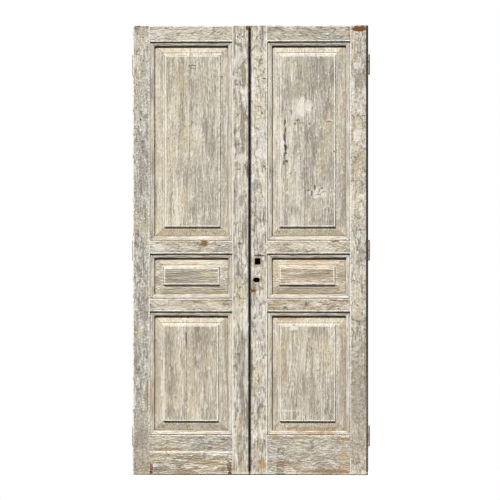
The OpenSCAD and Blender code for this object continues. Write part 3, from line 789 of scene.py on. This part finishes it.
# %% Marks on the right leaf
MARKS.update({
    "right_hinge_stile": [
        (40, 2272, 36, 17, RUST, 1), (50, 2086, 22, 20, LIME, 0.6), (42, 70, 4, 4, UMBER, 0.9),
        (50, 594, 48, 4, LIME, 0.7), (40, 2010, 26, 60, "#948877", 0.5), (60, 1900, 26, 2, UMBER, 0.6),
        (20, 1830, 22, 3, UMBER, 0.6), (48, 420, 26, 160, "#958a79", 0.45),
        (44, 330, 60, 330, "#9f9383", 0.5), (8, 600, 8, 240, "#6b5d4d", 0.5),
        (60, 1500, 30, 3, UMBER, 0.5), (30, 1420, 14, 14, LIME, 0.7), (52, 1730, 16, 40, LIME, 0.6),
        (72, 1960, 8, 70, LIME, 0.7), (34, 1250, 24, 4, "#7d6a53", 0.7), (62, 1620, 6, 5, UMBER, 0.7),
        (20, 900, 18, 3, UMBER, 0.5),
    ],
    "right_meeting_stile": [
        (548, 2225, 4, 4, UMBER, 0.9), (556, 2207, 4, 3, UMBER, 0.8), (528, 2020, 12, 4, UMBER, 0.8),
        (590, 73, 4, 4, UMBER, 0.9), (566, 1979, 30, 2, UMBER, 0.4),
        (563, 1090, 30, 34, BARE_PINE, 0.55), (550, 1120, 34, 4, UMBER, 0.9),
        (568, 995, 30, 22, BARE_PINE, 0.55), (586, 941, 16, 9, RUST, 1),
        (560, 950, 30, 12, RUST, 0.4), (540, 1700, 16, 120, LIME, 0.4),
        (585, 1960, 10, 60, LIME, 0.6), (592, 530, 6, 110, "#5d4c3c", 0.6),
        (520, 1110, 8, 40, BARE_PINE, 0.5),
        (587, 2000, 4, 90, LIME, 0.8), (586, 1700, 4, 120, LIME, 0.7), (587, 1450, 4, 100, LIME, 0.6),
        (570, 1480, 26, 30, "#7e8178", 0.5), (560, 1880, 22, 3, UMBER, 0.5),
        (575, 2120, 14, 3, UMBER, 0.5), (548, 1640, 24, 26, LIME, 0.6), (540, 1845, 4, 8, UMBER, 0.8),
        (575, 1350, 5, 30, "#70492a", 0.7), (534, 1310, 4, 24, UMBER, 0.5),
        (560, 790, 30, 10, LIME, 0.6), (545, 60, 30, 30, "#a8814f", 0.5),
        (556, 180, 6, 60, "#a98b62", 0.5),
    ],
    "right_top_rail": [
        (110, 2246, 16, 30, "#cdb794", 0.5), (300, 2255, 120, 9, "#9b9284", 0.5),
    ],
    "right_upper_cross_rail": [
        (300, 1186, 170, 4, STRAW, 0.5), (430, 1140, 40, 5, "#b59468", 0.5),
        (164, 1192, 26, 5, BARK, 0.8), (330, 1165, 90, 12, "#d9cdb8", 0.5),
    ],
    "right_lower_cross_rail": [
        (430, 892, 70, 5, "#a88357", 0.6), (480, 860, 26, 8, "#c4a878", 0.5),
        (250, 850, 20, 14, "#b99f75", 0.5), (174, 892, 24, 5, BARK, 0.7),
        (313, 872, 5, 22, BARK, 0.8),
    ],
    "right_bottom_rail": [
        (480, 196, 46, 10, "#ad8a5e", 0.5), (110, 60, 40, 90, "#b5976c", 0.4),
        (120, 186, 60, 8, "#9c7d58", 0.7), (330, 192, 90, 6, "#9c7d58", 0.6),
        (420, 60, 70, 14, "#a28360", 0.6), (200, 20, 120, 12, "#8c6a47", 0.7),
    ],
    "right_upper_panel_hinge_board": [
        (190, 1808, 16, 4, LIME, 0.8), (196, 1801, 14, 2, UMBER, 0.7), (262, 1440, 46, 28, LIME, 0.6),
        (300, 1452, 9, 4, UMBER, 0.7), (250, 1430, 12, 3, UMBER, 0.6), (232, 1462, 8, 4, UMBER, 0.6),
        (303, 1880, 20, 34, LIME, 0.7), (296, 1866, 12, 26, LIME, 0.5), (296, 1790, 4, 4, UMBER, 0.9),
        (270, 1466, 5, 14, UMBER, 0.7), (284, 1436, 5, 18, UMBER, 0.7), (246, 1452, 4, 12, UMBER, 0.6),
        (222, 1444, 14, 4, "#8a6a48", 0.7), (258, 1416, 18, 4, LIME, 0.9),
        (170, 1650, 5, 5, UMBER, 0.7), (232, 1700, 10, 4, LIME, 0.5),
    ],
    "right_upper_panel_meeting_board": [
        (330, 1874, 36, 52, LIME, 0.85), (352, 1846, 22, 30, LIME, 0.5),
        (422, 1700, 3, 110, UMBER, 0.7), (428, 1590, 5, 14, UMBER, 0.7), (397, 1538, 5, 4, UMBER, 0.9),
        (418, 1640, 9, 5, UMBER, 0.7), (370, 1960, 60, 40, "#a8a095", 0.5),
        (360, 1808, 9, 5, UMBER, 0.6), (372, 1790, 6, 5, UMBER, 0.7), (410, 1440, 10, 8, LIME, 0.6),
        (424, 1800, 5, 20, UMBER, 0.8), (418, 1762, 4, 16, UMBER, 0.8), (427, 1722, 5, 22, UMBER, 0.8),
        (420, 1668, 7, 26, UMBER, 0.8), (428, 1628, 5, 20, UMBER, 0.7), (414, 1600, 8, 8, UMBER, 0.8),
        (437, 1690, 5, 60, LIME, 0.7), (405, 1540, 10, 5, LIME, 0.7), (330, 1795, 14, 4, UMBER, 0.5),
        (388, 1850, 4, 16, UMBER, 0.5), (318, 1835, 3, 20, UMBER, 0.5),
    ],
    "right_middle_panel": [
        (300, 1092, 120, 5, "#caa06a", 0.5), (290, 1012, 110, 20, "#ad9b80", 0.4),
    ],
    "right_lower_panel": [
        (126, 480, 16, 300, "#a09480", 0.4), (420, 800, 60, 12, "#b08f63", 0.6),
        (300, 806, 120, 6, "#a98a60", 0.5), (290, 240, 150, 10, "#a5814f", 0.5),
        (410, 330, 70, 5, LIME, 0.5), (330, 600, 14, 80, LIME, 0.4),
        (440, 560, 30, 110, "#b3a17f", 0.4), (254, 507, 3, 3, UMBER, 0.9), (254, 535, 3, 3, UMBER, 0.9),
        (200, 632, 3, 3, UMBER, 0.8), (200, 566, 3, 3, UMBER, 0.8), (378, 748, 22, 10, LIME, 0.9),
        (300, 430, 40, 80, "#aea38f", 0.35),
    ],
    "right_lower_moulding_bottom": [
        (240, 214, 130, 5, "#a07c50", 0.7),
    ],
    "right_lower_moulding_hinge_side": [
        (100, 260, 14, 60, "#a98b66", 0.4),
    ],
})
print("with the right leaf's:", sum(len(rows) for rows in MARKS.values()), "marks")

# %% [markdown]
# A Mapping node moves the ellipse's middle to zero and makes its rim the unit circle, so the length
# of the vector says how far out a point is. Noise added before it makes the rim wander, and flakes
# added after it tear the rim. Small marks stay whole, because a nail hole has no torn edge.

# %% Marks painted on
MOST_WANDER = 14    # mm
SMALL_MARK = 12     # mm, half its longer side
RIM = (1.1, 0.8)    # of its half size, where a mark begins and where it is full


def marked(paint, node, colour, flake):
    """Lays each mark of a board over its paint, on the front only, with a torn and wandering rim."""
    unmarked = colour
    wander = paint.add("TexNoise", {"Vector": paint.where, "Scale": per_mm(14), "Detail": 3.0})
    torn = paint.add("Math", {0: flake, 1: 1.1, 2: -0.55}, operation="MULTIPLY_ADD")
    for across, up, wide, high, mark_colour, strength in MARKS.get(node, []):
        size = max(wide, high)
        swing = mm(min(MOST_WANDER, size))
        bend = {0: wander.outputs["Color"], 1: [swing] * 3, 2: paint.where}
        ragged = paint.add("VectorMath", bend, operation="MULTIPLY_ADD")
        middle = on_leaf(node.split("_")[0], across, up) + Vector([swing / 2] * 3)
        scale = Vector((1 / mm(wide), 0, 1 / mm(high)))
        place = [-m * k for m, k in zip(middle, scale)]
        spot = paint.add("Mapping", {"Vector": ragged, "Location": place, "Scale": scale})
        reach = paint.add("VectorMath", {0: spot}, operation="LENGTH")
        if size > SMALL_MARK:
            reach = paint.add("Math", {0: reach, 1: torn}, operation="ADD")
        colour = paint.lay(colour, mark_colour, (reach, *RIM, strength))
    return paint.lay(unmarked, colour, on_front(paint))


print("the most marks on one board:", max(len(rows) for rows in MARKS.values()))

# %% [markdown]
# Now each board gets its own limewashed pine. Lime has no gloss at all, so the shader is rough with
# little specular, and the thickness of the wash also drives a relief 1.6 mm high. That is higher
# than real paint, because anything finer wouldn't show from where the whole door is seen.

# %% Limewashed pine on every board
TONE_OF = {
    "left_hinge_stile": "grey",
    "left_middle_panel": "drab",
    "left_bottom_rail": "ash",
    "left_base_board": "drab",
    "left_upper_panel_hinge_board": "cream",
    "left_lower_cross_rail": "warm",
    "left_lower_panel_hinge_board": "warm",
    "left_lower_panel_meeting_board": "warm",
    "right_meeting_stile": "chalk",
    "right_top_rail": "ash",
    "right_upper_cross_rail": "cream",
    "right_lower_cross_rail": "tan",
    "right_bottom_rail": "cool",
    "right_upper_panel_hinge_board": "ash",
    "right_middle_panel": "oat",
    "right_lower_panel": "warm",
}


def limewashed_pine(node, seed):
    """The whole finish of one board, from the wood outwards, painted highlights and shade included."""
    along = 0 if lies(node) else 2
    paint = Finish("limewashed_pine_" + node, seed)
    colour, thick, flake = limewash(paint, node, TONES[TONE_OF.get(node, "stone")], along)
    if kind_of(node) in ("stile", "rail"):
        colour = crackled(paint, node, colour, along)
    colour = edged(paint, node, colour, flake)
    colour = footed(paint, node, colour, thick, flake)
    colour = marked(paint, node, colour, flake)
    body = paint.add("MapRange", {0: thick, 1: 0.4, 2: 0.55})
    flaked = paint.add("MapRange", {0: flake, 1: 0.45, 2: 0.62, 4: 0.6})
    relief = paint.add("Math", {0: body, 1: flaked}, operation="ADD")
    return paint.finish(colour, relief, height=1.6, strength=0.8, roughness=0.88)


for seed, (node, board) in enumerate(boards.items()):
    if "pegs" not in node:
        board.data.materials.append(limewashed_pine(node, seed))
print(sum(len(m.node_tree.nodes) for m in bpy.data.materials if m.use_nodes), "nodes so far")

# %% [markdown]
# Chips and pegs show the wood itself. Old pine that has seen rain is grey-brown with darker summer
# rings, and its pores are darker still. Oak pegs were limed over, so they are paler.

# %% Bare pine and peg oak
def bare_wood(name, light, dark, ring, stretch):
    """Rings so many millimetres apart, longer along the grain, with dark pores."""
    wood = Finish(name, seed=7)
    rings = wood.patches(ring, stretch, 2, detail=4, roughness=0.6)
    pores = wood.patches(1.2, 8, 2, detail=2, roughness=0.5)
    colour = wood.lay(dark, light, (rings, 0.4, 0.6))
    colour = wood.lay(colour, DARK_PINE, (pores, 0.6, 0.7, 0.5))
    return wood.finish(colour, rings, height=0.5, strength=0.5, roughness=0.9)


bare_pine = bare_wood("weathered_bare_pine", "#8f7659", "#54402f", ring=3, stretch=12)
peg_oak = bare_wood("limed_oak_peg", "#a79c8c", "#7b6f60", ring=2, stretch=1)
for node, board in boards.items():
    if "pegs" in node:
        board.data.materials.append(peg_oak)
print("wood that shows:", bare_pine.name, "and", peg_oak.name)

# %% [markdown]
# Chips are cut out of the boards for real, so that they catch the light and break the outline. A
# rough ball is the tool: an icosphere with its points pushed about, squashed to the chip's size.
# The Boolean modifier gives the cut faces the tool's material, so each chip shows bare pine.

# %% The tool for a chip
ROUGHEN = 0.25    # of the ball's radius


def gouge(at, across, up, deep, seed):
    """A rough ball to cut with; its whole width and height, and its depth, are in millimetres."""
    bpy.ops.object.select_all(action="DESELECT")
    bpy.ops.mesh.primitive_ico_sphere_add(subdivisions=2, radius=1, location=at)
    bpy.ops.object.mode_set(mode="EDIT")
    bpy.ops.transform.vertex_random(offset=ROUGHEN, seed=seed)
    bpy.ops.object.mode_set(mode="OBJECT")
    cutter = bpy.context.object
    cutter.scale = (mm(across) / 2, mm(deep), mm(up) / 2)
    cutter.data.materials.append(bare_pine)
    return cutter


def cut(board, cutters):
    """Takes all the cutters out of a board at once."""
    select_only(cutters)
    bpy.ops.object.join()
    tool = bpy.context.object
    modifier = board.modifiers.new("chips", "BOOLEAN")
    modifier.operation = "DIFFERENCE"
    modifier.solver = "MANIFOLD"
    modifier.material_mode = "TRANSFER"
    modifier.object = tool
    bpy.context.view_layer.objects.active = board
    bpy.ops.object.modifier_apply(modifier=modifier.name)
    bpy.data.objects.remove(tool)


print("chips are cut with balls of bare pine")

# %% [markdown]
# A few big chips have their own places: the top corners by the meeting edge, the latch, the foot of
# the base board and a bite out of a cross rail. Small ones are spread along every stile's outer
# arris, one in each stretch of equal length, with a fixed seed so that each run gives the same
# door.

# %% Chips
# Each chip is (across, up, width, height, depth) in millimetres on its leaf.
CHIPS = {
    "left_meeting_stile": [(600, 2292, 24, 26, 14), (600, 1965, 8, 26, 4), (600, 1600, 8, 34, 4)],
    "right_meeting_stile": [(600, 2292, 20, 24, 12), (600, 941, 12, 16, 4), (548, 1120, 20, 4, 2.5)],
    "right_hinge_stile": [(0, 2290, 14, 12, 6)],
    "left_base_board": [(90, 0, 26, 50, 5), (500, 0, 22, 40, 5)],
    "left_upper_cross_rail": [(368, 1194, 34, 16, 4)],
}
CHIPS_PER_ARRIS = 12
LEAF_WIDTH = 600    # mm
stretch = leaf_height * 1000 / CHIPS_PER_ARRIS    # mm
for number, (node, board) in enumerate(boards.items()):
    leaf = node.split("_")[0]
    placed = CHIPS.get(node, [])
    cutters = [gouge(on_leaf(leaf, across, up), wide, high, deep, number)
               for across, up, wide, high, deep in placed]
    if "stile" in node:
        draw = random.Random(number)
        outer = 0 if "hinge" in node else LEAF_WIDTH
        for at in range(CHIPS_PER_ARRIS):
            up = (at + draw.uniform(0.2, 0.8)) * stretch
            wide, high, deep = draw.uniform(5, 9), draw.uniform(8, 30), draw.uniform(2.5, 4)
            if all(abs(up - chip[1]) > high + chip[3] for chip in placed):
                cutters.append(gouge(on_leaf(leaf, outer, up), wide, high, deep, at))
    if cutters:
        cut(board, cutters)
print("after chips:", sum(len(b.data.polygons) for b in boards.values()), "faces")

# %% [markdown]
# The finished boards are shaded smooth only where they curve, which is where one face turns less
# than 12 degrees from the next, so that mitres and arrises stay crisp. Then they take over from
# their CAD nodes. Each swings with its own leaf.

# %% Hand the boards over
SMOOTH_WITHIN = 12    # degrees
for node, board in boards.items():
    select_only([board])
    bpy.ops.object.shade_smooth_by_angle(angle=math.radians(SMOOTH_WITHIN))
    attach(board, body_of_node[node])
    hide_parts(node)
print(len(boards), "boards ride on", sorted({body_of_node[node] for node in boards}))

# %% [markdown]
# The butt hinges were limewashed with the doors. Lime holds badly on iron, so it comes off in
# scales and rust shows between them. Rust doesn't look like bare metal, so the shader isn't
# metallic. The CAD nodes have the right shape and stay; only their material changes.

# %% Hinge iron
OLD_RUST, NEW_RUST, IRON_LIME = "#4b3526", "#6f4a30", "#c4bcae"
iron = Finish("limewashed_rusty_iron", seed=5)
scales = iron.patches(9, 1, 2, detail=5, roughness=0.7)
rust = iron.patches(3, 1, 2, detail=4, roughness=0.7)
colour = iron.lay(OLD_RUST, NEW_RUST, (rust, 0.4, 0.6))
colour = iron.lay(colour, IRON_LIME, (scales, 0.42, 0.5))
hinge_iron = iron.finish(colour, scales, height=0.5, strength=0.4, roughness=0.75)
metal = [cad for node, cad in frame["nodes"].items() if any(word in node for word in METAL)]
for cad in metal:
    cad.data.materials.clear()
    cad.data.materials.append(hinge_iron)
print(len(metal), "hinge pieces in", hinge_iron.name)
